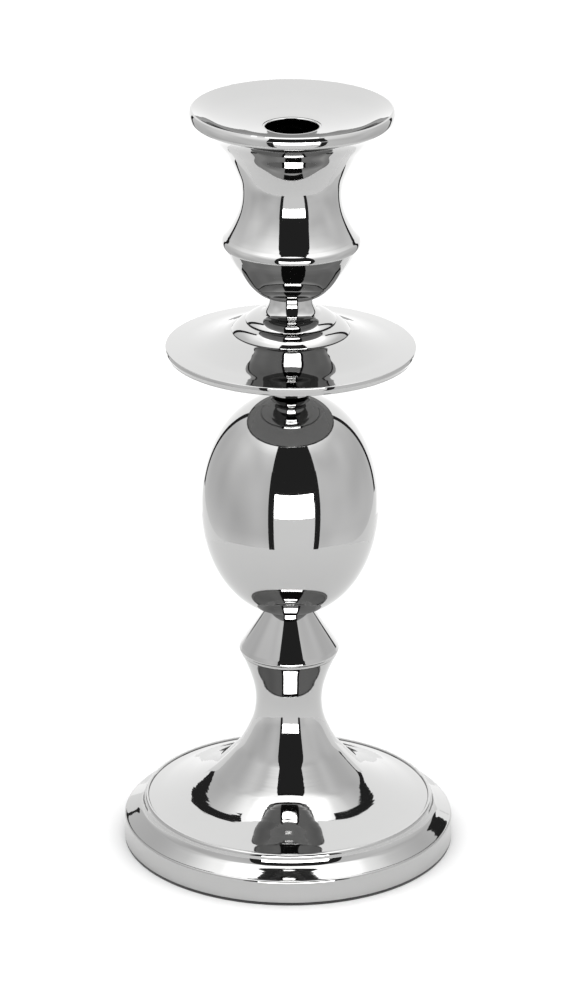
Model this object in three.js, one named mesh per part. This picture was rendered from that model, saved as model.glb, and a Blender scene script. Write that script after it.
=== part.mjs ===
// Polished metal candlestick: a stepped round foot, a waisted neck with a conical knop, an egg,
// a wide drip pan and a flared candle cup, all clamped on one central tie rod.
// Millimetres, +Z up. The origin is the centre of the foot, on the surface that it stands on.
import * as THREE from 'three';

// ---------------------------------------------------------------- driving dimensions
const FACETS = 28;             // sides of every turned piece, shared so that nested walls stay parallel
const ROD_FACETS = 8;
const GAP = 0.3;               // clearance between pieces that touch
const SHEET = 1.5;             // wall of the heavy spinnings
const THIN_SHEET = 1.2;        // wall of the egg halves and the socket

const CANDLE_BORE_RADIUS = 11.25;   // takes a 22 mm dinner candle
const SOCKET_DEPTH = 23.5;

const ROD_RADIUS = 3;
const ROD_HOLE_RADIUS = 3.4;
const WASHER_RADIUS = 6;
const WASHER_THICKNESS = 1.3;
const NUT_ACROSS_FLATS = 10;
const NUT_HEIGHT = 5;
const NUT_HOLE_RADIUS = 3.3;

const FOOT_RADIUS = 72.5;
const FELT_RADIUS = FOOT_RADIUS - 0.2;
const FELT_THICKNESS = 1;
const FOOT_WALL_TOP = 11.4;
const RIDGE_RADIUS = 62.1;
const RIDGE_HEIGHT = 19.8;
const NECK_RADIUS = 14.43;
const NECK_HEIGHT = 65.1;

const KNOP_RADIUS = 21.7;
const KNOP_EDGE_HEIGHT = 90;
const KNOP_TOP_RADIUS = 10.1;
const KNOP_TOP_HEIGHT = 108.6; // outer edge of the hollow seat that the egg stands in

const EGG_RADIUS = 38.36;
const EGG_HALF_HEIGHT = 50.3;
const EGG_CENTRE_HEIGHT = 157.9;
const EGG_ROUNDNESS = 2.1;     // superellipse exponent: 2 is an ellipse, more is fuller

const PAN_RADIUS = 53.6;
const PAN_EDGE_HEIGHT = 230.1;
const PAN_BAND = 3.9;          // height of the pan's turned-down edge
const PAN_CENTRE_HEIGHT = 236.7;
const STEP_RADIUS = 25.3;
const STEP_TOP = 241.6;
const FLANGE_RADIUS = 19.4;
const FLANGE_TOP = 245.2;
const CUP_NECK_RADIUS = 9.3;
const CUP_NECK_HEIGHT = 252.6;
const SHOULDER_RADIUS = 29.5;
const SHOULDER_HEIGHT = 276.8;
const WAIST_RADIUS = 21.3;
const WAIST_HEIGHT = 297.3;
const LIP_RADIUS = 43.35;
const LIP_HEIGHT = 335.4;
const DISH_FLOOR = 327.6;      // height of the shallow dish where it meets the candle socket

// ---------------------------------------------------------------- finishes
const finishes = {
  chrome: { color: 0xe4e4e2, roughness: 0.06, metalness: 1 },
  steel: { color: 0x9a9c9e, roughness: 0.4, metalness: 1 },
  iron: { color: 0x3a3938, roughness: 0.8, metalness: 0.6 },
  felt: { color: 0x18181a, roughness: 1, metalness: 0 },
};

// ---------------------------------------------------------------- outline helpers
// An outline is a list of [radius, height] points.
function arc([centreRadius, centreHeight], radius, fromDegrees, toDegrees, steps) {
  const points = [];
  for (let i = 0; i <= steps; i++) {
    const angle = THREE.MathUtils.degToRad(fromDegrees + ((toDegrees - fromDegrees) * i) / steps);
    points.push([centreRadius + radius * Math.cos(angle), centreHeight + radius * Math.sin(angle)]);
  }
  return points;
}

function smooth(points, steps) {
  const curve = new THREE.SplineCurve(points.map(([r, z]) => new THREE.Vector2(r, z)));
  return curve.getPoints(steps).map((p) => [p.x, p.y]);
}

// The same outline moved sideways by a distance, to its left when walked from first to last.
function offset(points, distance) {
  return points.map((point, i) => {
    const before = points[Math.max(i - 1, 0)];
    const after = points[Math.min(i + 1, points.length - 1)];
    const run = after[0] - before[0];
    const rise = after[1] - before[1];
    const length = Math.hypot(run, rise);
    return [point[0] - (rise / length) * distance, point[1] + (run / length) * distance];
  });
}

// A sheet of even thickness whose outside is the given outline, walked upwards. Its inside stays
// between two heights, which keeps a seam level.
function shell(outside, thickness, lowest = -Infinity, highest = Infinity) {
  const inside = offset(outside, thickness).map(([r, z]) => [r, THREE.MathUtils.clamp(z, lowest, highest)]);
  return [...outside, ...inside.reverse()];
}

// Makes one solid of revolution. The outline closes on itself unless it starts and ends on the axis.
function turned(outline, facets = FACETS) {
  const onAxis = outline[0][0] === 0 && outline[outline.length - 1][0] === 0;
  const loop = onAxis ? outline : [...outline, outline[0]];
  const area = loop.reduce((sum, [r, z], i) => {
    const [nextR, nextZ] = loop[(i + 1) % loop.length];
    return sum + r * nextZ - nextR * z;
  }, 0);
  const walked = area > 0 ? loop : [...loop].reverse();
  const geometry = new THREE.LatheGeometry(walked.map(([r, z]) => new THREE.Vector2(r, z)), facets);
  geometry.rotateX(Math.PI / 2);
  return geometry;
}

function ring(innerRadius, outerRadius, bottom, top) {
  return [[innerRadius, bottom], [outerRadius, bottom], [outerRadius, top], [innerRadius, top]];
}

const candlestick = new THREE.Group();

function add(name, geometry, finish) {
  const mesh = new THREE.Mesh(geometry, new THREE.MeshStandardMaterial(finishes[finish]));
  mesh.name = name;
  candlestick.add(mesh);
}

// ---------------------------------------------------------------- foot
const plateBottom = FELT_THICKNESS + GAP;
const recessFloor = 9;         // underside of the pressed recess that hides the lower nut
const recessRadius = 12;

function buildFeltPad() {
  const outline = [[0, 0], [FELT_RADIUS, 0], [FELT_RADIUS, FELT_THICKNESS], [0, FELT_THICKNESS]];
  add('felt_pad', turned(outline), 'felt');
}

function buildBasePlate() {
  const plateRadius = 69.4;
  const outline = [
    [ROD_HOLE_RADIUS, recessFloor],
    [recessRadius - 1.5, recessFloor],
    [recessRadius, plateBottom],
    [plateRadius, plateBottom],
    [plateRadius, plateBottom + SHEET],
    [recessRadius + SHEET, plateBottom + SHEET],
    [recessRadius, recessFloor + SHEET],
    [ROD_HOLE_RADIUS, recessFloor + SHEET],
  ];
  add('base_plate', turned(outline), 'steel');
}

function buildBaseWeight() {
  const bottom = plateBottom + SHEET + GAP;
  add('base_weight', turned(ring(recessRadius + SHEET + GAP + 1, 59, bottom, 12.5)), 'iron');
}

// The foot's outer wall, the sloping moulding above it and the raised ridge.
function buildBaseRim() {
  const outside = [
    [FOOT_RADIUS, plateBottom],
    [FOOT_RADIUS - 0.1, FOOT_WALL_TOP - 1],
    [FOOT_RADIUS - 0.9, FOOT_WALL_TOP],
    [69, 12.6],
    [67, 13.75],
    [65.2, 14.9],
    [64.1, 15.5],
    [RIDGE_RADIUS + 0.9, RIDGE_HEIGHT - 0.6],
    [RIDGE_RADIUS, RIDGE_HEIGHT],
  ];
  const inside = [
    [61.7, 17.4],
    [60, 17.4],
    [60, 15.8],
    [61.9, 14.9],
    [63.4, 12.2],
    [69.3, 9.2],
    [69.4 + GAP, plateBottom],
  ];
  add('base_rim', turned([...outside, ...inside]), 'chrome');
}

// One spinning: the sloping top of the foot, running up into the waisted neck under the knop.
function buildBaseShell() {
  const outside = smooth([
    [61.4, 19.3], [56.2, 20.7], [50.6, 22.75], [44.9, 25.1], [39, 28.1], [34.4, 30.85], [32.4, 32.4],
    [28.7, 36.15], [24.6, 40.6], [20.8, 45.4], [17.57, 51.8], [15.3, 58], [NECK_RADIUS, NECK_HEIGHT],
    [15, 71.6], [17.2, 79.4], [20.6, 87.4],
  ], 17);
  add('base_shell', turned(shell(outside, SHEET)), 'chrome');
}

// ---------------------------------------------------------------- knop and egg
function buildKnop() {
  const underside = KNOP_TOP_HEIGHT - 3.4;
  const outline = [
    [ROD_HOLE_RADIUS, underside],
    [9.6, underside],
    [19.9, KNOP_EDGE_HEIGHT + 0.6],
    [19.9, KNOP_EDGE_HEIGHT - 2],
    [21.1, KNOP_EDGE_HEIGHT - 2],
    ...arc([KNOP_RADIUS - 1.2, KNOP_EDGE_HEIGHT], 1.2, -45, 33, 2),
    [KNOP_TOP_RADIUS, KNOP_TOP_HEIGHT],
    [KNOP_TOP_RADIUS - 0.6, KNOP_TOP_HEIGHT - 0.1],
    [6.5, KNOP_TOP_HEIGHT - 0.9],
    [ROD_HOLE_RADIUS, KNOP_TOP_HEIGHT - 1.35],
  ];
  add('knop_cone', turned(outline), 'chrome');
}

// Height of the egg's outside above its centre, at a radius.
function eggRise(radius) {
  const share = Math.pow(radius / EGG_RADIUS, EGG_ROUNDNESS);
  return EGG_HALF_HEIGHT * Math.pow(1 - share, 1 / EGG_ROUNDNESS);
}

// The egg is spun in two halves, joined round its widest line. side is 1 for the upper half, -1 for the lower.
function buildEggHalf(name, side) {
  const steps = 7;
  const seam = GAP / 2;
  const outside = [[EGG_RADIUS, seam]];
  for (let i = 1; i < steps; i++) {
    const angle = (i / steps) * (Math.PI / 2);
    const radius = EGG_RADIUS * Math.pow(Math.cos(angle), 2 / EGG_ROUNDNESS);
    outside.push([radius, EGG_HALF_HEIGHT * Math.pow(Math.sin(angle), 2 / EGG_ROUNDNESS)]);
  }
  outside.push([ROD_HOLE_RADIUS, eggRise(ROD_HOLE_RADIUS)]);
  const inside = outside.map(([r, z]) => {
    const slimmer = (EGG_RADIUS - THIN_SHEET) / EGG_RADIUS;
    const lower = (EGG_HALF_HEIGHT - THIN_SHEET) / EGG_HALF_HEIGHT;
    return [Math.max(r * slimmer, ROD_HOLE_RADIUS), Math.max(z * lower, seam)];
  });
  const outline = [...outside, ...inside.reverse()].map(([r, z]) => [r, EGG_CENTRE_HEIGHT + side * z]);
  add(name, turned(outline), 'chrome');
}

// ---------------------------------------------------------------- drip pan
const panSeat = 224.9;         // top of the collar that carries the pan

function buildPanCollar() {
  const bottom = EGG_CENTRE_HEIGHT + EGG_HALF_HEIGHT + GAP;
  const outline = [
    [ROD_HOLE_RADIUS, bottom],
    [8.2, bottom],
    [9.6, bottom + 1.2],
    [8.4, bottom + 4.5],
    [8.6, bottom + 9],
    [11.3, panSeat - 4],
    [19.2, panSeat - 3.3],
    [19.5, panSeat - 1.8],
    [25.2, panSeat - 1.5],
    [25.5, panSeat - 0.3],
    [25.2, panSeat],
    [ROD_HOLE_RADIUS, panSeat],
  ];
  add('pan_collar', turned(outline), 'chrome');
}

function buildDripPan() {
  const top = smooth([
    [PAN_RADIUS - 0.6, PAN_EDGE_HEIGHT], [48, 230.65], [42, 231.4], [36.5, 232.8], [31, 234.9],
    [27, 236.6], [24.9, 237.1],
  ], 7);
  const bandBottom = PAN_EDGE_HEIGHT - PAN_BAND;
  const outline = [
    ...top,
    [24, PAN_CENTRE_HEIGHT],
    [ROD_HOLE_RADIUS, PAN_CENTRE_HEIGHT],
    [ROD_HOLE_RADIUS, panSeat + GAP],
    [25.6, panSeat + GAP],
    [26.6, 226.9],
    [PAN_RADIUS - 2.2, bandBottom + 0.4],
    [PAN_RADIUS - 1, bandBottom],
    [PAN_RADIUS, PAN_EDGE_HEIGHT - 1.6],
    [PAN_RADIUS - 0.2, PAN_EDGE_HEIGHT - 0.5],
  ];
  add('drip_pan', turned(outline), 'chrome');
}

// The wider of two domed steps in the middle of the pan.
function buildLowerStep() {
  const bottom = PAN_CENTRE_HEIGHT + GAP;
  const outline = [
    [ROD_HOLE_RADIUS, bottom],
    [23.8, bottom],
    [24.4, 237.4],
    [STEP_RADIUS, 237.5],
    ...arc([17.41, 232.47], 9.3, 33, 76, 4),
    [18.6, STEP_TOP],
    [ROD_HOLE_RADIUS, STEP_TOP],
  ];
  add('lower_step', turned(outline), 'chrome');
}

// ---------------------------------------------------------------- cup
// The narrower domed step, which sweeps up into the cup's neck.
function buildCupFlange() {
  const bottom = STEP_TOP + GAP;
  const outline = [
    [ROD_HOLE_RADIUS, bottom],
    [FLANGE_RADIUS - 0.1, bottom],
    ...arc([11.9, 234.7], 10.6, 45, 82, 4),
    ...smooth([[12.4, FLANGE_TOP + 0.2], [11, 246.8], [9.6, 249.6], [CUP_NECK_RADIUS, CUP_NECK_HEIGHT - GAP]], 5),
    [ROD_HOLE_RADIUS, CUP_NECK_HEIGHT - GAP],
  ];
  add('cup_flange', turned(outline), 'chrome');
}

const shoulderBead = 3.1;
const shoulderCentre = [SHOULDER_RADIUS - shoulderBead, SHOULDER_HEIGHT];
const bowlFloor = CUP_NECK_HEIGHT + SHEET;

function buildCupBowl() {
  const outside = [
    [CUP_NECK_RADIUS + 0.6, CUP_NECK_HEIGHT],
    ...smooth([[13.4, 254.2], [17.71, 257.9], [21.67, 263], [25.3, 268.4]], 5),
    ...arc(shoulderCentre, shoulderBead, -50, 0, 3),
  ];
  const wall = shell(outside, SHEET, bowlFloor, SHOULDER_HEIGHT).slice(0, -1);
  const outline = [
    [ROD_HOLE_RADIUS, CUP_NECK_HEIGHT],
    ...wall,
    [CUP_NECK_RADIUS, bowlFloor],
    [ROD_HOLE_RADIUS, bowlFloor],
  ];
  add('cup_bowl', turned(outline), 'chrome');
}

function buildCupTrumpet() {
  const seam = SHOULDER_HEIGHT + GAP;
  const top = LIP_HEIGHT - 7.1;
  const outside = [
    [SHOULDER_RADIUS, seam],
    ...arc(shoulderCentre, shoulderBead, 20, 55, 1),
    ...smooth([
      [26.4, 281.9], [24, 286.4], [22.1, 291.4], [WAIST_RADIUS, WAIST_HEIGHT], [22, 303.2],
      [24.7, 310], [28.53, 317], [32, 321.5], [35.4, 325.7], [38.6, top],
    ], 10),
  ];
  add('cup_trumpet', turned(shell(outside, SHEET, seam, top)), 'chrome');
}

// The dish that catches drips, with its heavy rolled lip. Its middle is open for the socket.
function buildCupDish() {
  const socketHole = CANDLE_BORE_RADIUS + THIN_SHEET + GAP;
  const outline = [
    [socketHole, DISH_FLOOR - SHEET],
    ...smooth([[socketHole, DISH_FLOOR], [22, 328.8], [33, 331.3], [39, 333.9], [LIP_RADIUS - 1.2, LIP_HEIGHT]], 5),
    ...smooth([[LIP_RADIUS - 0.4, LIP_HEIGHT - 0.6], [LIP_RADIUS, LIP_HEIGHT - 2.5], [42.3, 330], [41, 329.3]], 4),
    [39.9, 328.9],
    [37.6, 329.7],
    [32, 328.9],
    [22, DISH_FLOOR - 0.7],
  ];
  add('cup_dish', turned(outline), 'chrome');
}

// The drawn sleeve that grips the candle. It has a flat floor and a rounded mouth.
function buildCandleSocket() {
  const floor = DISH_FLOOR - SOCKET_DEPTH;
  const outerRadius = CANDLE_BORE_RADIUS + THIN_SHEET;
  const outline = [
    [0, floor - THIN_SHEET],
    [outerRadius - 1, floor - THIN_SHEET],
    [outerRadius, floor],
    [outerRadius, DISH_FLOOR - 0.3],
    [outerRadius - THIN_SHEET / 2, DISH_FLOOR],
    [CANDLE_BORE_RADIUS, DISH_FLOOR - 0.3],
    [CANDLE_BORE_RADIUS, floor],
    [0, floor],
  ];
  add('candle_socket', turned(outline), 'chrome');
}

// ---------------------------------------------------------------- tie rod and its fasteners
function buildNut(name, bottom) {
  const cornerRadius = NUT_ACROSS_FLATS / 2 / Math.cos(Math.PI / 6);
  const face = new THREE.Shape();
  for (let i = 0; i < 6; i++) {
    const angle = (i * Math.PI) / 3;
    const move = i === 0 ? 'moveTo' : 'lineTo';
    face[move](cornerRadius * Math.cos(angle), cornerRadius * Math.sin(angle));
  }
  face.closePath();
  const hole = new THREE.Path();
  hole.absarc(0, 0, NUT_HOLE_RADIUS, 0, Math.PI * 2, true);
  face.holes.push(hole);
  const geometry = new THREE.ExtrudeGeometry(face, {
    depth: NUT_HEIGHT, bevelEnabled: false, curveSegments: ROD_FACETS,
  });
  geometry.translate(0, 0, bottom);
  add(name, geometry, 'steel');
}

function buildClamping() {
  const washer = (name, bottom) => {
    const outline = ring(ROD_HOLE_RADIUS, WASHER_RADIUS, bottom, bottom + WASHER_THICKNESS);
    add(name, turned(outline, 2 * ROD_FACETS), 'steel');
  };
  const topWasherBottom = bowlFloor + GAP;
  const topNutBottom = topWasherBottom + WASHER_THICKNESS + GAP;
  const flatWasherBottom = recessFloor - GAP - WASHER_THICKNESS;
  const lowerNutBottom = flatWasherBottom - GAP - NUT_HEIGHT;
  const rodBottom = plateBottom + 0.2;
  const rodTop = topNutBottom + NUT_HEIGHT + 3;

  washer('top_washer', topWasherBottom);
  buildNut('top_nut', topNutBottom);
  washer('lower_washer', flatWasherBottom);
  buildNut('lower_nut', lowerNutBottom);
  const rod = [[0, rodBottom], [ROD_RADIUS, rodBottom], [ROD_RADIUS, rodTop], [0, rodTop]];
  add('tie_rod', turned(rod, ROD_FACETS), 'steel');
}

buildFeltPad();
buildBasePlate();
buildBaseWeight();
buildBaseRim();
buildBaseShell();
buildKnop();
buildEggHalf('egg_lower_shell', -1);
buildEggHalf('egg_upper_shell', 1);
buildPanCollar();
buildDripPan();
buildLowerStep();
buildCupFlange();
buildCupBowl();
buildCupTrumpet();
buildCupDish();
buildCandleSocket();
buildClamping();

export default candlestick;
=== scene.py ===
"""Looks of the polished metal candlestick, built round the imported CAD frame."""
import math

import bpy
import bmesh
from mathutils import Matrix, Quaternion, Vector


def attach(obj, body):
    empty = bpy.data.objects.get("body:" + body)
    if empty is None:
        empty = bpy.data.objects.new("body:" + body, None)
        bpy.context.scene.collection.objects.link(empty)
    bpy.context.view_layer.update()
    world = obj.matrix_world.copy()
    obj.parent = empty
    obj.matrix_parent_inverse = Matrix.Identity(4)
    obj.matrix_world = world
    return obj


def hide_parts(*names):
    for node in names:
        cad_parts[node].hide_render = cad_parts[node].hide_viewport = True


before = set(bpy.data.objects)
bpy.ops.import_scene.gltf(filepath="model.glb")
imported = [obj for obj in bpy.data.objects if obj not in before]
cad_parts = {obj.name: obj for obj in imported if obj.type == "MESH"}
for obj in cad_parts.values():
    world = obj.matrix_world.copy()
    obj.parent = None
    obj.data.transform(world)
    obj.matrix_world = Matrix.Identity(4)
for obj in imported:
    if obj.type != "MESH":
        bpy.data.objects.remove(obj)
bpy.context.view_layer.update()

MM = 0.001
SEGMENTS = 256          # steps round every turned piece
ARC_STEP = 4.0          # degrees between points on a rounded edge
CURVE_STEP = 0.5        # millimetres between points on a long curve
HIDDEN_STEP = 4         # a hidden inside takes every fourth point of its outside
EGG_STEPS = 150         # points down the egg's outside
EGG_INSIDE_STEPS = 40
CREASE = 30.0           # edges sharper than this, in degrees, stay crisp
SAME_POINT = 1e-4       # outline points closer than this, in millimetres, are one
ON_AXIS = 1e-6          # a radius below this, in millimetres, is on the axis

# Driving sizes in millimetres, the same as in the CAD part.
FOOT_RADIUS = 72.5
FOOT_WALL_TOP = 11.4
RIDGE_RADIUS = 62.1
RIDGE_HEIGHT = 19.8
FELT_THICKNESS = 1.0
NECK_RADIUS = 14.43
KNOP_RADIUS = 21.7
KNOP_EDGE = 90.0
KNOP_TOP_RADIUS = 10.1
EGG_RADIUS = 38.36
EGG_HALF_HEIGHT = 50.3
EGG_CENTRE = 157.9
EGG_ROUNDNESS = 2.1      # superellipse exponent: 2 is an ellipse, more is fuller
PAN_RADIUS = 53.6
PAN_EDGE = 230.1
PAN_BAND = 3.9           # height of the pan's turned-down edge
PAN_CENTRE = 236.7
STEP_RADIUS = 25.3
STEP_TOP = 241.6
FLANGE_RADIUS = 19.4
FLANGE_TOP = 245.2
CUP_NECK_RADIUS = 9.3
CUP_NECK = 252.6
SHOULDER_RADIUS = 29.5
SHOULDER = 276.8
WAIST_RADIUS = 21.3
LIP_RADIUS = 43.35
LIP_HEIGHT = 335.4
DISH_FLOOR = 327.6       # where the cup's dish meets the candle socket
BORE_RADIUS = 11.25
SOCKET_DEPTH = 23.5
SHEET = 1.5
THIN_SHEET = 1.2
ROD_HOLE = 3.4

# Further sizes in millimetres, of the looks model.
PLATE_RADIUS = 69.4      # inside of the foot's outer wall
KNOP_TOP = 108.9         # where the cone meets the egg
PAN_SEAT = 224.9         # top of the neck that carries the pan
SHOULDER_BEAD = 3.1      # radius of the bead where the cup's bowl turns into its trumpet
WALL_TOP = 329.4         # top of the cup's wall, under the lip
SEAM = 0.1               # gap between two clamped pieces


# ---------------------------------------------------------------- outlines, in millimetres
def arc(centre, radius, from_degrees, to_degrees):
    """Points on a round edge, both ends included."""
    turn = to_degrees - from_degrees
    steps = max(2, math.ceil(abs(turn) / ARC_STEP))
    angles = [math.radians(from_degrees + turn * i / steps) for i in range(steps + 1)]
    return [(centre[0] + radius * math.cos(a), centre[1] + radius * math.sin(a)) for a in angles]


def smooth(points):
    """A flowing curve through all the points: a centripetal Catmull-Rom spline."""
    last = len(points) - 1
    made = []
    for i in range(last):
        p1, p2 = Vector(points[i]), Vector(points[i + 1])
        p0 = Vector(points[i - 1]) if i else 2 * p1 - p2
        p3 = Vector(points[i + 2]) if i + 2 <= last else 2 * p2 - p1
        t1 = math.sqrt((p1 - p0).length)
        t2 = t1 + math.sqrt((p2 - p1).length)
        t3 = t2 + math.sqrt((p3 - p2).length)
        steps = max(2, math.ceil((p2 - p1).length / CURVE_STEP))
        for k in range(steps):
            t = t1 + (t2 - t1) * k / steps
            a1 = p0 + (p1 - p0) * (t / t1)
            a2 = p1 + (p2 - p1) * ((t - t1) / (t2 - t1))
            a3 = p2 + (p3 - p2) * ((t - t2) / (t3 - t2))
            b1 = a1 + (a2 - a1) * (t / t2)
            b2 = a2 + (a3 - a2) * ((t - t1) / (t3 - t1))
            made.append(tuple(b1 + (b2 - b1) * ((t - t1) / (t2 - t1))))
    return made + [tuple(points[last])]


def offset(points, distance):
    """The same outline moved to its left."""
    moved = []
    for i, point in enumerate(points):
        before = Vector(points[max(i - 1, 0)])
        after = Vector(points[min(i + 1, len(points) - 1)])
        along = (after - before).normalized()
        moved.append((point[0] - along.y * distance, point[1] + along.x * distance))
    return moved


def shell(outside, thickness, lowest=-math.inf, highest=math.inf):
    """A sheet of even thickness inside an outline walked upwards. Its inside keeps between two heights."""
    inside = [(r, min(max(z, lowest), highest)) for r, z in offset(outside, thickness)]
    return outside + [inside[-1]] + inside[-2:0:-HIDDEN_STEP] + [inside[0]]


# ---------------------------------------------------------------- turned pieces
def turned(name, outline, nodes, material):
    """One solid of revolution about Z from a closed outline, riding on the body and replacing CAD nodes."""
    outline = [p for i, p in enumerate(outline) if (Vector(p) - Vector(outline[i - 1])).length > SAME_POINT]
    area = sum(outline[i - 1][0] * p[1] - p[0] * outline[i - 1][1] for i, p in enumerate(outline))
    if area < 0:
        outline = outline[::-1]
    mesh = bpy.data.meshes.new(name)
    mesh.from_pydata(*swept(outline))
    mesh.validate()
    mesh.shade_smooth()
    mark_creases(mesh)
    obj = bpy.data.objects.new(name, mesh)
    bpy.context.scene.collection.objects.link(obj)
    obj.data.materials.append(material)
    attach(obj, "root")
    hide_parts(*nodes)
    return obj


def swept(outline):
    """Vertices, edges and faces of an outline turned about Z. A point on the axis becomes one vertex."""
    verts, columns = [], []
    for r, z in outline:
        if r < ON_AXIS:
            columns.append([len(verts)] * SEGMENTS)
            verts.append((0.0, 0.0, z * MM))
            continue
        columns.append(list(range(len(verts), len(verts) + SEGMENTS)))
        for k in range(SEGMENTS):
            a = 2 * math.pi * k / SEGMENTS
            verts.append((r * math.cos(a) * MM, r * math.sin(a) * MM, z * MM))
    faces = []
    for i, high in enumerate(columns):
        low = columns[i - 1]
        for k in range(SEGMENTS):
            after = (k + 1) % SEGMENTS
            face = list(dict.fromkeys((low[k], low[after], high[after], high[k])))
            if len(face) > 2:
                faces.append(face)
    return verts, [], faces


def mark_creases(mesh):
    bm = bmesh.new()
    bm.from_mesh(mesh)
    for edge in bm.edges:
        if len(edge.link_faces) == 2:
            edge.smooth = edge.calc_face_angle(0.0) < math.radians(CREASE)
    bm.to_mesh(mesh)
    bm.free()


# ---------------------------------------------------------------- material nodes
def node_material(name):
    material = bpy.data.materials.new(name)
    material.use_nodes = True
    nodes = material.node_tree.nodes
    return material, nodes, material.node_tree.links, nodes["Principled BSDF"]


def maths(nodes, links, operation, first, second):
    """One step of arithmetic on two values, each of them a socket or a number."""
    node = nodes.new("ShaderNodeMath")
    node.operation = operation
    for place, value in zip(node.inputs, (first, second)):
        if isinstance(value, (int, float)):
            place.default_value = value
        else:
            links.new(value, place)
    return node.outputs[0]


def vector_maths(nodes, links, operation, *values):
    node = nodes.new("ShaderNodeVectorMath")
    node.operation = operation
    for place, value in zip(node.inputs, values):
        links.new(value, place)
    return node


def object_space(nodes):
    return nodes.new("ShaderNodeTexCoord").outputs["Object"]


def ring_vector(nodes, links, around):
    """Object space bent so that noise runs in rings: it changes with radius and height, little with turn."""
    split = nodes.new("ShaderNodeSeparateXYZ")
    links.new(object_space(nodes), split.inputs[0])
    flat = nodes.new("ShaderNodeCombineXYZ")
    links.new(split.outputs["X"], flat.inputs["X"])
    links.new(split.outputs["Y"], flat.inputs["Y"])
    radius = vector_maths(nodes, links, "LENGTH", flat.outputs[0])
    unit = vector_maths(nodes, links, "NORMALIZE", flat.outputs[0])
    turn = vector_maths(nodes, links, "SCALE", unit.outputs[0])
    turn.inputs["Scale"].default_value = around
    rings = maths(nodes, links, "SUBTRACT", split.outputs["Z"], radius.outputs["Value"])
    lift = nodes.new("ShaderNodeCombineXYZ")
    links.new(rings, lift.inputs["Z"])
    return vector_maths(nodes, links, "ADD", turn.outputs[0], lift.outputs[0]).outputs[0]


def noise(nodes, links, vector, scale, detail):
    texture = nodes.new("ShaderNodeTexNoise")
    texture.inputs["Scale"].default_value = scale
    texture.inputs["Detail"].default_value = detail
    links.new(vector, texture.inputs["Vector"])
    return texture.outputs["Fac"]


def mapped(nodes, links, value, low, high):
    change = nodes.new("ShaderNodeMapRange")
    change.inputs["To Min"].default_value = low
    change.inputs["To Max"].default_value = high
    links.new(value, change.inputs["Value"])
    return change.outputs["Result"]


def bumped(nodes, links, height, millimetres, strength):
    bump = nodes.new("ShaderNodeBump")
    bump.inputs["Distance"].default_value = millimetres * MM
    bump.inputs["Strength"].default_value = strength
    links.new(height, bump.inputs["Height"])
    return bump.outputs["Normal"]


def tinted(nodes, links, value, dark, light):
    ramp = nodes.new("ShaderNodeValToRGB")
    ramp.color_ramp.elements[0].color = (*dark, 1)
    ramp.color_ramp.elements[1].color = (*light, 1)
    links.new(value, ramp.inputs["Fac"])
    return ramp.outputs["Color"]


# ---------------------------------------------------------------- finishes
def chrome_material(name, ripple):
    """Mirror plating over turned metal, with polishing waves of ripple millimetres and a faint haze."""
    material, nodes, links, shader = node_material(name)
    shader.inputs["Metallic"].default_value = 1.0
    waves = noise(nodes, links, ring_vector(nodes, links, around=0.0012), 260.0, 2.0)
    haze = noise(nodes, links, object_space(nodes), 28.0, 4.0)
    tone = tinted(nodes, links, haze, dark=(0.468, 0.468, 0.466), light=(0.492, 0.491, 0.488))
    links.new(tone, shader.inputs["Base Color"])
    links.new(mapped(nodes, links, haze, 0.015, 0.05), shader.inputs["Roughness"])
    links.new(bumped(nodes, links, waves, ripple, 1.0), shader.inputs["Normal"])
    return material


def grained_material(name, scale, detail, dark, light, smoothest, roughest, depth, strength):
    """An unpolished surface, whose tone, roughness and height all follow one grain."""
    material, nodes, links, shader = node_material(name)
    grain = noise(nodes, links, object_space(nodes), scale, detail)
    links.new(tinted(nodes, links, grain, dark, light), shader.inputs["Base Color"])
    links.new(mapped(nodes, links, grain, smoothest, roughest), shader.inputs["Roughness"])
    links.new(bumped(nodes, links, grain, depth, strength), shader.inputs["Normal"])
    return material, shader


def steel_material():
    material, shader = grained_material(
        "zinc_steel", scale=900.0, detail=6.0, dark=(0.40, 0.41, 0.42), light=(0.62, 0.63, 0.64),
        smoothest=0.28, roughest=0.5, depth=0.05, strength=0.6)
    shader.inputs["Metallic"].default_value = 1.0
    return material


def iron_material():
    material, shader = grained_material(
        "cast_iron", scale=400.0, detail=8.0, dark=(0.05, 0.047, 0.045), light=(0.14, 0.13, 0.125),
        smoothest=0.6, roughest=0.9, depth=0.4, strength=0.8)
    shader.inputs["Metallic"].default_value = 0.7
    return material


def felt_material():
    material, shader = grained_material(
        "black_felt", scale=1600.0, detail=8.0, dark=(0.006, 0.006, 0.007), light=(0.035, 0.034, 0.036),
        smoothest=0.85, roughest=1.0, depth=0.3, strength=0.9)
    shader.inputs["Sheen Weight"].default_value = 0.4
    shader.inputs["Sheen Roughness"].default_value = 0.6
    return material


CHROME = chrome_material("mirror_chrome", 0.012)
CHROME_RIPPLED = chrome_material("mirror_chrome_rippled", 0.03)
FELT = felt_material()


# ---------------------------------------------------------------- foot
def make_felt():
    radius = FOOT_RADIUS - 0.2
    outline = [(0, 0), (radius, 0), (radius + 0.1, 0.5), (radius, FELT_THICKNESS), (0, FELT_THICKNESS)]
    turned("foot_felt", outline, ["felt_pad"], FELT)


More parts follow.
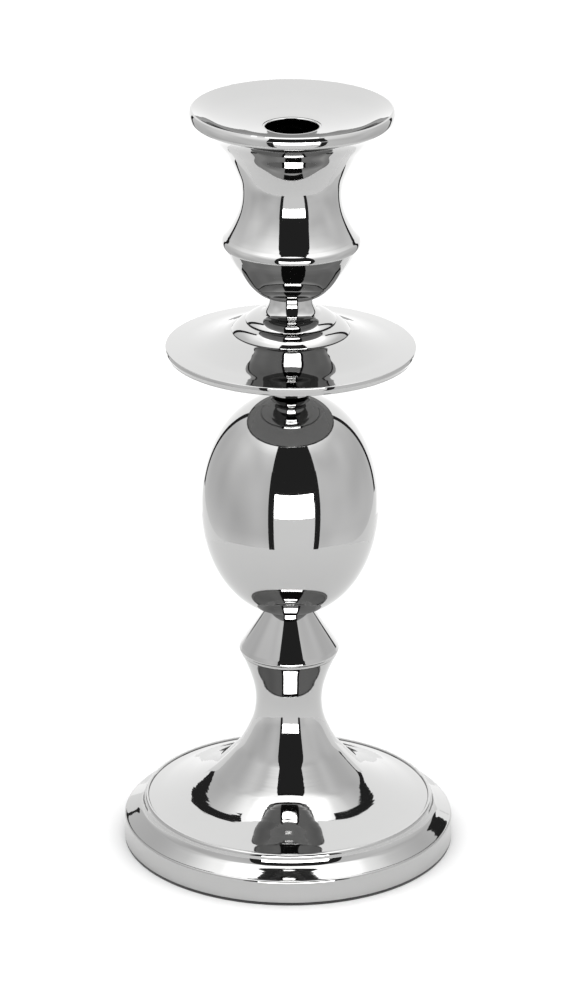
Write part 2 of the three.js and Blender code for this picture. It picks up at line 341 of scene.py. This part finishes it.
def make_foot_rim():
    """The outer wall, the sloping moulding and the raised ridge."""
    bottom = FELT_THICKNESS + SEAM
    outline = [(PLATE_RADIUS, bottom), (FOOT_RADIUS - 0.3, bottom), (FOOT_RADIUS, bottom + 0.3)]
    outline += [(FOOT_RADIUS, bottom + 0.6), (FOOT_RADIUS - 0.15, 6)]
    outline += [(FOOT_RADIUS - 0.1, FOOT_WALL_TOP - 1.2)]
    outline += arc((FOOT_RADIUS - 1.2, FOOT_WALL_TOP - 1.1), 1.1, 0, 74)
    outline += smooth([
        (71.3, 11.5), (69, 12.7), (67, 13.78), (65.5, 14.6), (64.7, 15.2), (64.15, 16.1), (63.75, 17.2),
    ])
    outline += arc((RIDGE_RADIUS + 0.1, RIDGE_HEIGHT - 1.5), 1.5, 10, 100)
    outline += [(61.7, 19.4), (61.7, 17.7), (60, 17.7), (60, 16.0), (61.9, 15.0), (63.4, 12.2)]
    outline += [(PLATE_RADIUS, 9.2)]
    turned("foot_rim", outline, ["base_rim"], CHROME)


def make_foot_dish():
    """One spinning: the shallow dish of the foot, running up into the waisted neck."""
    outside = smooth([
        (61.6, 19.35), (56.2, 20.7), (50.6, 22.75), (44.9, 25.1), (39, 28.1), (34.4, 30.85), (32.4, 32.4),
        (28.7, 36.15), (24.6, 40.6), (22.3, 43.2), (20.8, 45.4),
        (17.57, 51.8), (15.3, 58), (NECK_RADIUS, 65.1), (15, 71.6), (17.2, 79.4), (20.6, 87.6),
    ])
    turned("foot_dish_and_neck", shell(outside, SHEET), ["base_shell"], CHROME_RIPPLED)


# ---------------------------------------------------------------- knop and egg
def make_knop():
    """A conical cap whose hollow top follows the foot of the egg."""
    underside = KNOP_TOP - 3.7
    outline = [(ROD_HOLE, underside), (9.6, underside)]
    outline += [(19.9, KNOP_EDGE + 0.6), (19.9, KNOP_EDGE - 2), (21.0, KNOP_EDGE - 2)]
    outline += arc((KNOP_RADIUS - 1.2, KNOP_EDGE), 1.2, -50, 33)
    outline += smooth([(21.2, 91.6), (17.5, 97.4), (13.8, 103.1), (KNOP_TOP_RADIUS, KNOP_TOP)])
    outline += [(9.5, KNOP_TOP - 0.15), (6.5, KNOP_TOP - 0.95), (ROD_HOLE, KNOP_TOP - 1.4)]
    turned("knop", outline, ["knop_cone"], CHROME)


def egg_line(radius, half_height, steps):
    """A superellipse from beside the rod at the top to beside the rod at the foot."""
    start = math.acos((ROD_HOLE / radius) ** (EGG_ROUNDNESS / 2))
    points = []
    for i in range(steps + 1):
        t = start * (1 - 2 * i / steps)
        rise = abs(math.sin(t)) ** (2 / EGG_ROUNDNESS)
        r = radius * math.cos(t) ** (2 / EGG_ROUNDNESS)
        points.append((r, EGG_CENTRE + math.copysign(half_height * rise, t)))
    return points


def make_egg():
    """The two spun halves read as one, because the seam is polished out."""
    outside = egg_line(EGG_RADIUS, EGG_HALF_HEIGHT, EGG_STEPS)
    inside = egg_line(EGG_RADIUS - THIN_SHEET, EGG_HALF_HEIGHT - THIN_SHEET, EGG_INSIDE_STEPS)
    turned("egg", outside + inside[::-1], ["egg_lower_shell", "egg_upper_shell"], CHROME)


# ---------------------------------------------------------------- drip pan
def make_pan_collar():
    """The neck on top of the egg, with two stepped discs under the pan."""
    low = EGG_CENTRE + EGG_HALF_HEIGHT
    outline = [(ROD_HOLE, low), (8.2, low)]
    outline += smooth([(9.4, low + 1.0), (8.5, low + 4.5), (8.6, low + 9), (11.3, PAN_SEAT - 4)])
    outline += [(19.2, PAN_SEAT - 3.3)] + arc((18.8, PAN_SEAT - 2.5), 0.7, -40, 40)
    outline += [(19.5, PAN_SEAT - 1.6), (25.0, PAN_SEAT - 1.5)] + arc((24.8, PAN_SEAT - 0.8), 0.7, -60, 70)
    outline += [(24.9, PAN_SEAT), (ROD_HOLE, PAN_SEAT)]
    turned("pan_neck", outline, ["pan_collar"], CHROME)


def make_drip_pan():
    low = PAN_EDGE - PAN_BAND
    outline = smooth([
        (PAN_RADIUS - 0.5, PAN_EDGE), (48, 230.65), (42, 231.4), (36.5, 232.8), (31, 234.9), (27, 236.6),
        (24.9, 237.1),
    ])
    outline += [(24, PAN_CENTRE), (ROD_HOLE, PAN_CENTRE)]
    outline += [(ROD_HOLE, PAN_SEAT + SEAM), (25.6, PAN_SEAT + SEAM)]
    outline += smooth([(26.0, PAN_SEAT + 0.6), (28.0, 226.9), (40, 227.1), (PAN_RADIUS - 2.4, 227.0)])
    outline += [(PAN_RADIUS - 2.2, low + 0.3)]
    outline += arc((PAN_RADIUS - 1.4, low + 0.5), 0.5, -100, 0)
    outline += smooth([
        (PAN_RADIUS - 0.8, low + 0.9), (PAN_RADIUS - 0.1, low + 2.2), (PAN_RADIUS - 0.05, PAN_EDGE - 0.5),
    ])
    outline += arc((PAN_RADIUS - 0.5, PAN_EDGE - 0.45), 0.45, 0, 90)
    turned("pan", outline, ["drip_pan"], CHROME)


def make_lower_step():
    low = PAN_CENTRE + SEAM
    outline = [(ROD_HOLE, low), (STEP_RADIUS - 0.5, low), (STEP_RADIUS, low + 0.35)]
    outline += arc((17.41, 232.47), 9.3, 32, 76)
    outline += [(18.6, STEP_TOP), (ROD_HOLE, STEP_TOP)]
    turned("pan_step", outline, ["lower_step"], CHROME)


# ---------------------------------------------------------------- cup
def make_cup_flange():
    """The narrower step, which sweeps up into the neck under the cup."""
    low = STEP_TOP + SEAM
    high = CUP_NECK - SEAM
    outline = [(ROD_HOLE, low), (FLANGE_RADIUS - 0.3, low), (FLANGE_RADIUS, low + 0.3)]
    outline += arc((11.9, 234.7), 10.6, 45, 82)
    outline += smooth([(12.6, FLANGE_TOP + 0.15), (11.0, 246.6), (9.5, 249.4), (CUP_NECK_RADIUS, high)])
    outline += [(ROD_HOLE, high)]
    turned("cup_step_and_neck", outline, ["cup_flange"], CHROME)


def make_cup_wall():
    """Bowl and trumpet, which meet at the shoulder bead without a visible seam."""
    outside = smooth([
        (9.9, CUP_NECK + 0.15), (13.6, 254.2), (17.71, 257.9), (21.67, 263), (25.4, 268.6), (27.7, 272.6),
    ])
    outside += arc((SHOULDER_RADIUS - SHOULDER_BEAD, SHOULDER), SHOULDER_BEAD, -38, 42)
    outside += smooth([
        (27.9, 279.7), (26.4, 281.9), (24, 286.4), (22.1, 291.4), (WAIST_RADIUS, 297.3), (22, 303.2),
        (24.7, 310), (28.53, 317), (32, 321.5), (35.4, 325.7), (38.4, 328.3), (40.2, WALL_TOP),
    ])
    floor = CUP_NECK + SHEET
    outline = [(ROD_HOLE, CUP_NECK), (CUP_NECK_RADIUS + 0.2, CUP_NECK)]
    outline += shell(outside, SHEET, floor, WALL_TOP) + [(ROD_HOLE, floor)]
    turned("cup_wall", outline, ["cup_bowl", "cup_trumpet"], CHROME)


def make_cup_dish():
    """The shallow dish and its heavy rolled lip, open in the middle for the socket."""
    hole = BORE_RADIUS + THIN_SHEET
    outline = [(hole, DISH_FLOOR - SHEET)]
    outline += smooth([(hole, DISH_FLOOR), (22, 328.8), (33, 331.3), (39, 333.9), (42.1, LIP_HEIGHT - 0.05)])
    outline += smooth([
        (42.8, LIP_HEIGHT - 0.4), (43.25, LIP_HEIGHT - 1.4), (LIP_RADIUS, LIP_HEIGHT - 2.6),
        (43.1, LIP_HEIGHT - 4.2), (42.3, LIP_HEIGHT - 5.4), (41.0, LIP_HEIGHT - 6.0),
    ])
    outline += [(40.4, 329.5), (39.9, 329.6), (37.6, 330.2), (32, 329.0), (22, DISH_FLOOR - 0.6)]
    turned("cup_dish_and_lip", outline, ["cup_dish"], CHROME)


def make_socket():
    """The candle's sleeve, closed below, with a rounded mouth."""
    outer = BORE_RADIUS + THIN_SHEET
    side = outer - 0.02      # just inside the hole in the dish
    floor = DISH_FLOOR - SOCKET_DEPTH
    corner = 0.6
    outline = [(0, floor - THIN_SHEET), (outer - 1, floor - THIN_SHEET), (side, floor)]
    outline += [(side, DISH_FLOOR - 0.1)]
    outline += arc((BORE_RADIUS + corner, DISH_FLOOR - corner), corner, 76, 180)
    outline += [(BORE_RADIUS, floor + corner)]
    outline += arc((BORE_RADIUS - corner, floor + corner), corner, 0, -90)
    outline += [(0, floor)]
    turned("socket", outline, ["candle_socket"], CHROME)


# ---------------------------------------------------------------- CAD pieces that stay
def dress_cad_nodes():
    steel, iron = steel_material(), iron_material()
    finishes = {"base_weight": iron}
    for node in ("base_plate", "tie_rod", "top_washer", "top_nut", "lower_washer", "lower_nut"):
        finishes[node] = steel
    for node, material in finishes.items():
        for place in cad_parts[node].material_slots:
            place.material = material


# ---------------------------------------------------------------- studio, in metres
FRONT = -90.0            # the camera's side of the turning axis, in degrees round Z
DEEPER = 0.45            # how much of the stage's light each further mirror bounce keeps
TENT_RADIUS = 0.29
TENT_HEIGHT = 0.9
OPENING = 5.4            # where the middle of the tent's front opening is, degrees to the right
OPENING_HALF = 30.8      # half the opening's width, in degrees
CARD_HALF = 24.6         # half the width of the bright card in front of the opening, in degrees
CARD_RADIUS = 0.87
CARD_TOP = 0.27
BOARD_RADIUS = TENT_RADIUS - 0.01
BOARD_TOP = 0.3
BOARD_OVERLAP = 0.5      # how far a board overlaps the tent's edge, in degrees
DARK_RADIUS = 1.0        # the dark room above the card
DARK_TOP = 2.0
DARK_MARGIN = 8.0        # how far it reaches past the opening on each side, in degrees
GAP_SHEET_RADIUS = TENT_RADIUS - 0.005
SWEEP_RADIUS = TENT_RADIUS - 0.006
BACKDROP_RADIUS = TENT_RADIUS + 0.1
BACKDROP_TOP = 1.3
TOP_LIGHT_RADIUS = 0.65
TOP_LIGHT_HEIGHT = 1.5
FLOOR_HALF = 12.0
# The dark gap between tent and backdrop on each side, which leans forward as it rises:
# (height, near edge, far edge), its edges in degrees.
GAP_LEFT = (
    (0.085, -141, -147), (0.15, -138.5, -144), (0.25, -134, -140), (0.35, -131, -138), (0.6, -125, -137),
)
GAP_RIGHT = (
    (0.085, 133.5, 139.5), (0.15, 132, 138), (0.25, 130, 136), (0.35, 128, 134.5), (0.6, 124, 134),
)
SWEEP_TURN = 55.0        # how far the raised end of the pale table reaches forward of each gap, in degrees
# The top edge of that raised end: (share of its full height, share of SWEEP_TURN).
SWEEP_EDGE = ((0.0, 1.0), (0.35, 0.45), (0.75, 0.15), (1.0, 0.0))
OVERLAP = 3.0            # how far the sheets beyond a gap reach past its far edge, in degrees
SUN_STRENGTH = 4.0
SUN_SPREAD = 100.0       # degrees
SUN_HEIGHT = 2.2
SKY_STRENGTH = 1.05
CLOUD_SCALE = 4.0        # noise scale of the clouds on the glowing sheets
CLOUD_DETAIL = 1.0


def ray_order(nodes, links, keep):
    """From the second mirror bounce on, each sees the stage darker than the one before."""
    depth = nodes.new("ShaderNodeLightPath").outputs["Ray Depth"]
    later = maths(nodes, links, "MAXIMUM", maths(nodes, links, "SUBTRACT", depth, 1.0), 0.0)
    return maths(nodes, links, "POWER", keep, later)


def by_height(nodes, links, z, stops):
    """A value that follows the height in straight runs between (height, value) stops."""
    top = stops[-1][0]
    peak = max(level for _, level in stops)
    ramp = nodes.new("ShaderNodeFloatCurve")
    curve = ramp.mapping.curves[0]
    points = [(height / top, level / peak) for height, level in stops]
    curve.points[0].location = points[0]
    curve.points[1].location = points[-1]
    for place in points[1:-1]:
        curve.points.new(*place)
    for point in curve.points:
        point.handle_type = "VECTOR"
    ramp.mapping.update()
    links.new(maths(nodes, links, "DIVIDE", z, top), ramp.inputs["Value"])
    return maths(nodes, links, "MULTIPLY", ramp.outputs[0], peak)


def emitter(name, stops, keep=DEEPER, smudge=0.0):
    """A glowing sheet whose radiance follows its height, by (height, radiance) stops.

    keep is what each further mirror bounce keeps of its light, and smudge is how cloudy it is.
    """
    material = bpy.data.materials.new(name)
    material.use_nodes = True
    nodes, links = material.node_tree.nodes, material.node_tree.links
    nodes.clear()
    out = nodes.new("ShaderNodeOutputMaterial")
    glow = nodes.new("ShaderNodeEmission")
    where = object_space(nodes)
    split = nodes.new("ShaderNodeSeparateXYZ")
    links.new(where, split.inputs[0])
    level = by_height(nodes, links, split.outputs["Z"], stops)
    dimmed = maths(nodes, links, "MULTIPLY", level, ray_order(nodes, links, keep))
    patches = noise(nodes, links, where, CLOUD_SCALE, CLOUD_DETAIL)
    clouds = mapped(nodes, links, patches, 1 - smudge, 1 + smudge)
    links.new(maths(nodes, links, "MULTIPLY", dimmed, clouds), glow.inputs["Strength"])
    links.new(glow.outputs[0], out.inputs["Surface"])
    return material


def plain_emitter(name, radiance, keep=DEEPER, smudge=0.0):
    return emitter(name, ((0.0, radiance), (1.0, radiance)), keep, smudge)


def stage_mesh(name, verts, faces, material, seen=False):
    """A sheet of the stage. Unless seen, only mirrors show it."""
    mesh = bpy.data.meshes.new(name)
    mesh.from_pydata(verts, [], faces)
    obj = bpy.data.objects.new(name, mesh)
    bpy.context.scene.collection.objects.link(obj)
    obj.data.materials.append(material)
    if not seen:
        obj.visible_camera = False
        obj.visible_diffuse = False
        obj.visible_shadow = False
    return obj


def round_axis(radius, side, height):
    """The point that is side degrees to the right of the front."""
    a = math.radians(FRONT + side)
    return (radius * math.cos(a), radius * math.sin(a), height)


def leaning_strip(name, stops, radius, material, steps=4):
    """A standing sheet round the axis: (height, one side, other side) stops, its sides in degrees."""
    verts = []
    for height, one, other in stops:
        verts += [round_axis(radius, one + (other - one) * k / steps, height) for k in range(steps + 1)]
    row = steps + 1
    faces = [(row * i + k, row * i + k + 1, row * (i + 1) + k + 1, row * (i + 1) + k)
             for i in range(len(stops) - 1) for k in range(steps)]
    return stage_mesh(name, verts, faces, material)


def curved_wall(name, from_side, to_side, radius, bottom, top, material):
    """A standing sheet between two angles, with a step every 3 degrees."""
    steps = max(2, int(abs(to_side - from_side) / 3))
    stops = ((bottom, from_side, to_side), (top, from_side, to_side))
    return leaning_strip(name, stops, radius, material, steps)


def disc(name, radius, height, material):
    steps = 48
    verts = [round_axis(radius, 360 * i / steps, height) for i in range(steps)]
    return stage_mesh(name, verts, [tuple(range(steps))], material)


def make_paper():
    """The pale table: white to the camera, and darker from the second bounce in the mirror on."""
    paint, nodes, links, shader = node_material("studio_paper")
    shader.inputs["Roughness"].default_value = 1.0
    shader.inputs["Specular IOR Level"].default_value = 0.0
    tone = vector_maths(nodes, links, "SCALE")
    tone.inputs[0].default_value = (0.9, 0.9, 0.9)
    links.new(ray_order(nodes, links, DEEPER), tone.inputs["Scale"])
    links.new(tone.outputs[0], shader.inputs["Base Color"])
    half = FLOOR_HALF
    corners = [(-half, -half, 0), (half, -half, 0), (half, half, 0), (-half, half, 0)]
    stage_mesh("floor", corners, [(0, 1, 2, 3)], paint, seen=True)


def make_front(black):
    """The opening that the camera looks through: a low bright card between black boards, and dark above."""
    card = plain_emitter("front_card", 12.0, keep=1.0)
    left, right = OPENING - OPENING_HALF, OPENING + OPENING_HALF
    card_left, card_right = OPENING - CARD_HALF, OPENING + CARD_HALF
    curved_wall("board_left", left - BOARD_OVERLAP, card_left, BOARD_RADIUS, 0.0, BOARD_TOP, black)
    curved_wall("board_right", card_right, right + BOARD_OVERLAP, BOARD_RADIUS, 0.0, BOARD_TOP, black)
    curved_wall("front_card", card_left, card_right, CARD_RADIUS, 0.0, CARD_TOP, card)
    left, right = left - DARK_MARGIN, right + DARK_MARGIN
    curved_wall("front_dark", left, right, DARK_RADIUS, CARD_TOP, DARK_TOP, black)


def make_tent(black):
    """Cloudy diffusers on both sides, a backdrop behind, and a leaning dark gap between them on each side."""
    cloth = (
        (0.0, 1.02), (0.05, 0.88), (0.15, 0.87), (0.3, 0.97), (0.4, 1.1), (0.6, 1.9), (TENT_HEIGHT, 2.5),
    )
    side = emitter("diffuser", cloth, smudge=0.35)
    back = plain_emitter("backdrop", 1.42)
    low = plain_emitter("low_wall", 1.12, smudge=0.15)
    left, right = OPENING - OPENING_HALF, OPENING + OPENING_HALF
    curved_wall("diffuser_left", GAP_LEFT[0][1], left, TENT_RADIUS, 0.0, TENT_HEIGHT, side)
    curved_wall("diffuser_right", right, GAP_RIGHT[0][1], TENT_RADIUS, 0.0, TENT_HEIGHT, side)
    for word, stops, turn in (("left", GAP_LEFT, -1), ("right", GAP_RIGHT, 1)):
        foot, near, far = stops[0]
        end = far + OVERLAP * turn
        leaning_strip(f"gap_{word}", stops, GAP_SHEET_RADIUS, black)
        beyond = [(height, outer, end) for height, _, outer in stops]
        beyond.append((TENT_HEIGHT, stops[-1][2], end))
        leaning_strip(f"beyond_{word}", beyond, GAP_SHEET_RADIUS, back)
        sweep = [(foot * rise, near - SWEEP_TURN * reach * turn, end) for rise, reach in SWEEP_EDGE]
        leaning_strip(f"sweep_{word}", sweep, SWEEP_RADIUS, low)
    curved_wall("backdrop", GAP_RIGHT[0][2], 360 + GAP_LEFT[0][2], BACKDROP_RADIUS, 0.0, BACKDROP_TOP, back)


def make_world():
    """White to the camera, nearly black to everything else."""
    world = bpy.data.worlds.new("studio")
    bpy.context.scene.world = world
    world.use_nodes = True
    nodes, links = world.node_tree.nodes, world.node_tree.links
    path = nodes.new("ShaderNodeLightPath")
    sky = nodes["Background"]
    mix = nodes.new("ShaderNodeMix")
    mix.data_type = "RGBA"
    to_others, to_camera, mixed = mix.inputs[6], mix.inputs[7], mix.outputs[2]   # the colour sockets
    to_others.default_value = (0.02, 0.02, 0.02, 1)
    to_camera.default_value = (1, 1, 1, 1)
    links.new(path.outputs["Is Camera Ray"], mix.inputs[0])
    links.new(mixed, sky.inputs["Color"])
    sky.inputs["Strength"].default_value = SKY_STRENGTH


def make_studio():
    scene = bpy.context.scene
    scene.view_settings.view_transform = "Standard"
    scene.cycles.glossy_bounces = 12
    scene.cycles.max_bounces = 16
    make_paper()
    black = plain_emitter("black_board", 0.03)
    make_front(black)
    make_tent(black)
    disc("top_light", TOP_LIGHT_RADIUS, TOP_LIGHT_HEIGHT, plain_emitter("top_light", 2.6))
    make_world()
    light = bpy.data.lights.new("soft_overhead", "SUN")
    light.energy = SUN_STRENGTH
    light.angle = math.radians(SUN_SPREAD)
    lamp = bpy.data.objects.new("soft_overhead", light)
    lamp.location = (0, 0, SUN_HEIGHT)
    lamp.visible_glossy = False
    scene.collection.objects.link(lamp)


# ---------------------------------------------------------------- camera
def make_camera():
    """Looks down at the photo's angle, from the photo's distance."""
    distance, height = 1.9, 0.9154
    pitch, roll = math.radians(21.71), math.radians(0.3)
    data = bpy.data.cameras.new("camera")
    data.lens = 170.5
    data.sensor_width = 36.0
    data.clip_end = 60.0
    camera = bpy.data.objects.new("camera", data)
    bpy.context.scene.collection.objects.link(camera)
    camera.rotation_mode = "QUATERNION"
    look = Vector((0, math.cos(pitch), -math.sin(pitch)))
    camera.location = (-0.0017, -distance, height)
    camera.rotation_quaternion = look.to_track_quat("-Z", "Y") @ Quaternion((0, 0, 1), roll)
    bpy.context.scene.camera = camera


make_camera()
make_felt()
make_foot_rim()
make_foot_dish()
make_knop()
make_egg()
make_pan_collar()
make_drip_pan()
make_lower_step()
make_cup_flange()
make_cup_wall()
make_cup_dish()
make_socket()
dress_cad_nodes()
make_studio()

bpy.context.view_layer.update()
